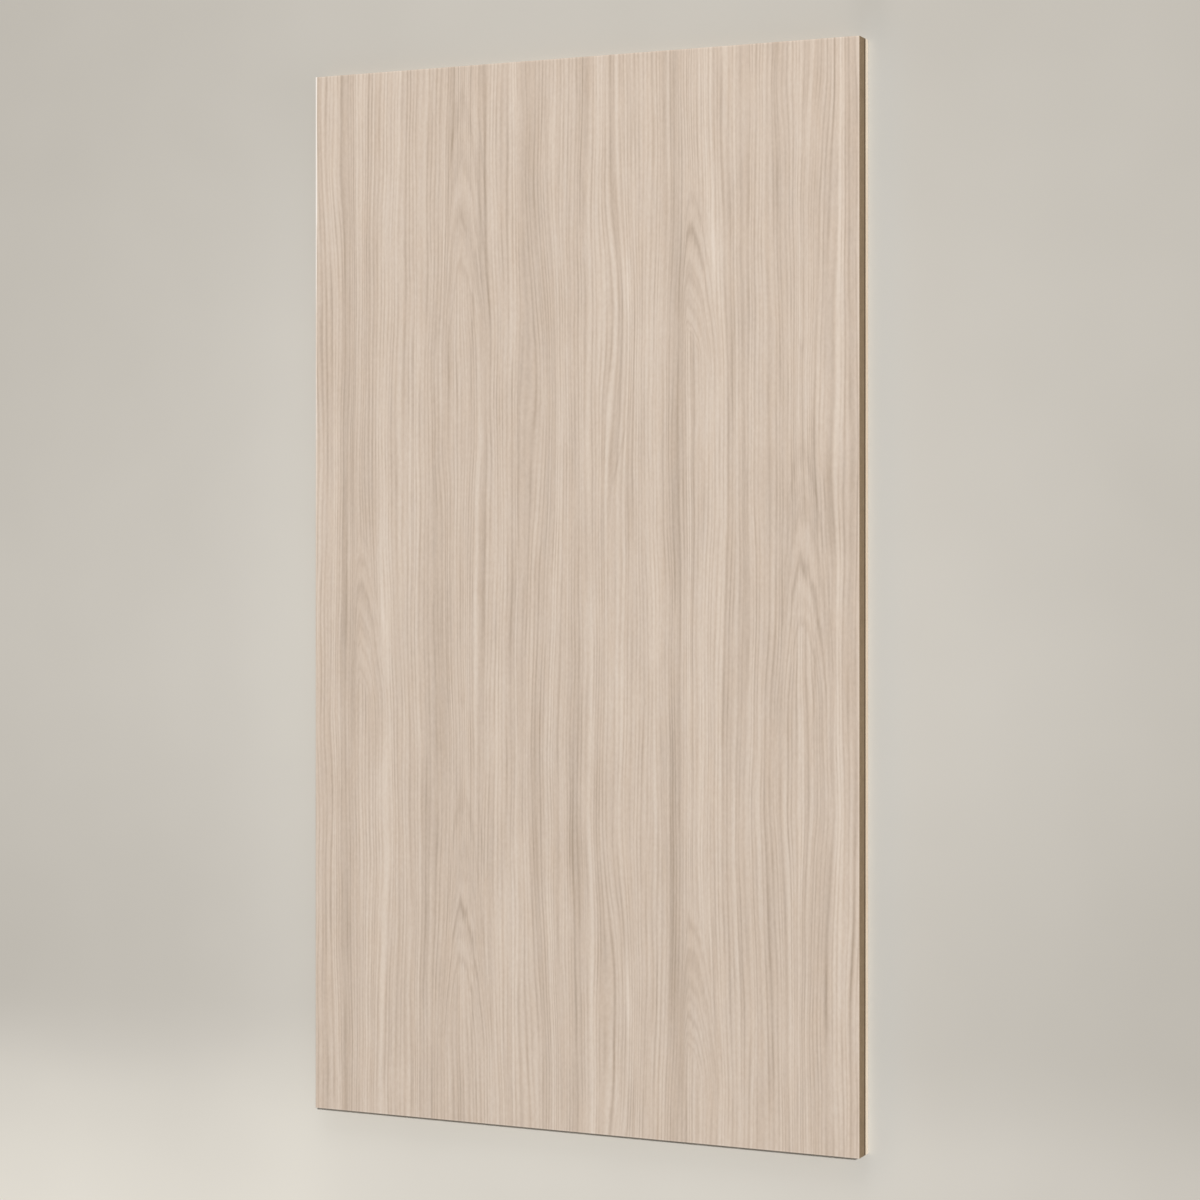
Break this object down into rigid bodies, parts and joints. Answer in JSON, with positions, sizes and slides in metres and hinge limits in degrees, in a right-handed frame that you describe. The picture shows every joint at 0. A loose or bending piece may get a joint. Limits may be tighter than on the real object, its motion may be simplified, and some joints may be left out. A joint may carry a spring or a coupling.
{
  "type": "wall panel",
  "caption": "Flat rectangular wall panel: a pale wood-grain face sheet on a brown core board with a pale backing board, flush at the edges.",
  "frame": {"origin": "middle of the back face, which the panel lies on", "axes": "+Z out of the wood-grain face, +Y along the grain and the panel's length, +X across the grain to the right as seen from the face"},
  "size_m": [0.6, 1.08, 0.0268],
  "materials": {
    "wood_grain_laminate": "matte",
    "brown_fibreboard": "matte",
    "pale_backing": "matte"
  },
  "bodies": {
    "root": {"face_sheet": "wood_grain_laminate", "core_board": "brown_fibreboard", "backing_board": "pale_backing"}
  },
  "joints": []
}
